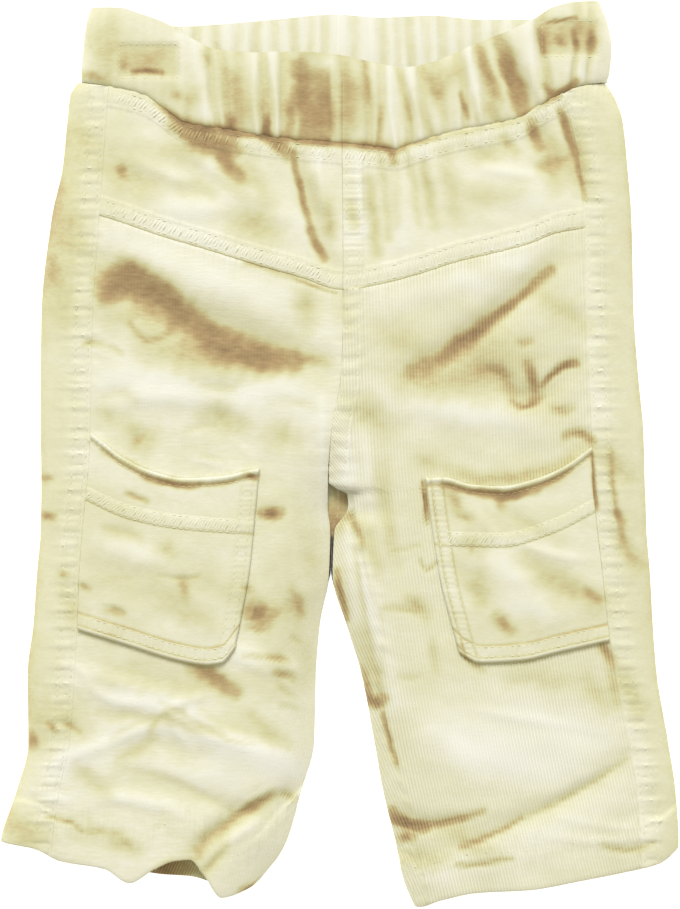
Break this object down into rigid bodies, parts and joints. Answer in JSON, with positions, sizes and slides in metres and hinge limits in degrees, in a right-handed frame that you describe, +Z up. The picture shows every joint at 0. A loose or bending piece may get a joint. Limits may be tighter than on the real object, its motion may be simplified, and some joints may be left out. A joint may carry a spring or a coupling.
{
  "type": "baby's corduroy cargo trousers, laid flat",
  "caption": "Baby's cream corduroy cargo trousers laid flat, with a gathered elastic waist, V-seamed yoke and patch pockets.",
  "frame": {"origin": "on the table the trousers lie on, under the middle of their outline", "axes": "+Z up out of the front of the trousers, +Y from the hems to the waist, +X to the observer's right"},
  "size_m": [0.2851, 0.3805, 0.015],
  "materials": {
    "corduroy": "fine-wale corduroy, brushed",
    "twill": "smooth brushed cotton twill",
    "casing": "gathered cotton casing over elastic"
  },
  "bodies": {
    "root": {"waistband_left": "casing", "waistband_right": "casing", "yoke_left": "twill", "yoke_right": "twill", "front_leg_left": "corduroy", "front_leg_right": "corduroy", "side_panel_left": "twill", "side_panel_right": "twill", "back_left": "corduroy", "back_right": "corduroy", "pocket_left": "twill", "pocket_right": "twill"}
  },
  "joints": []
}
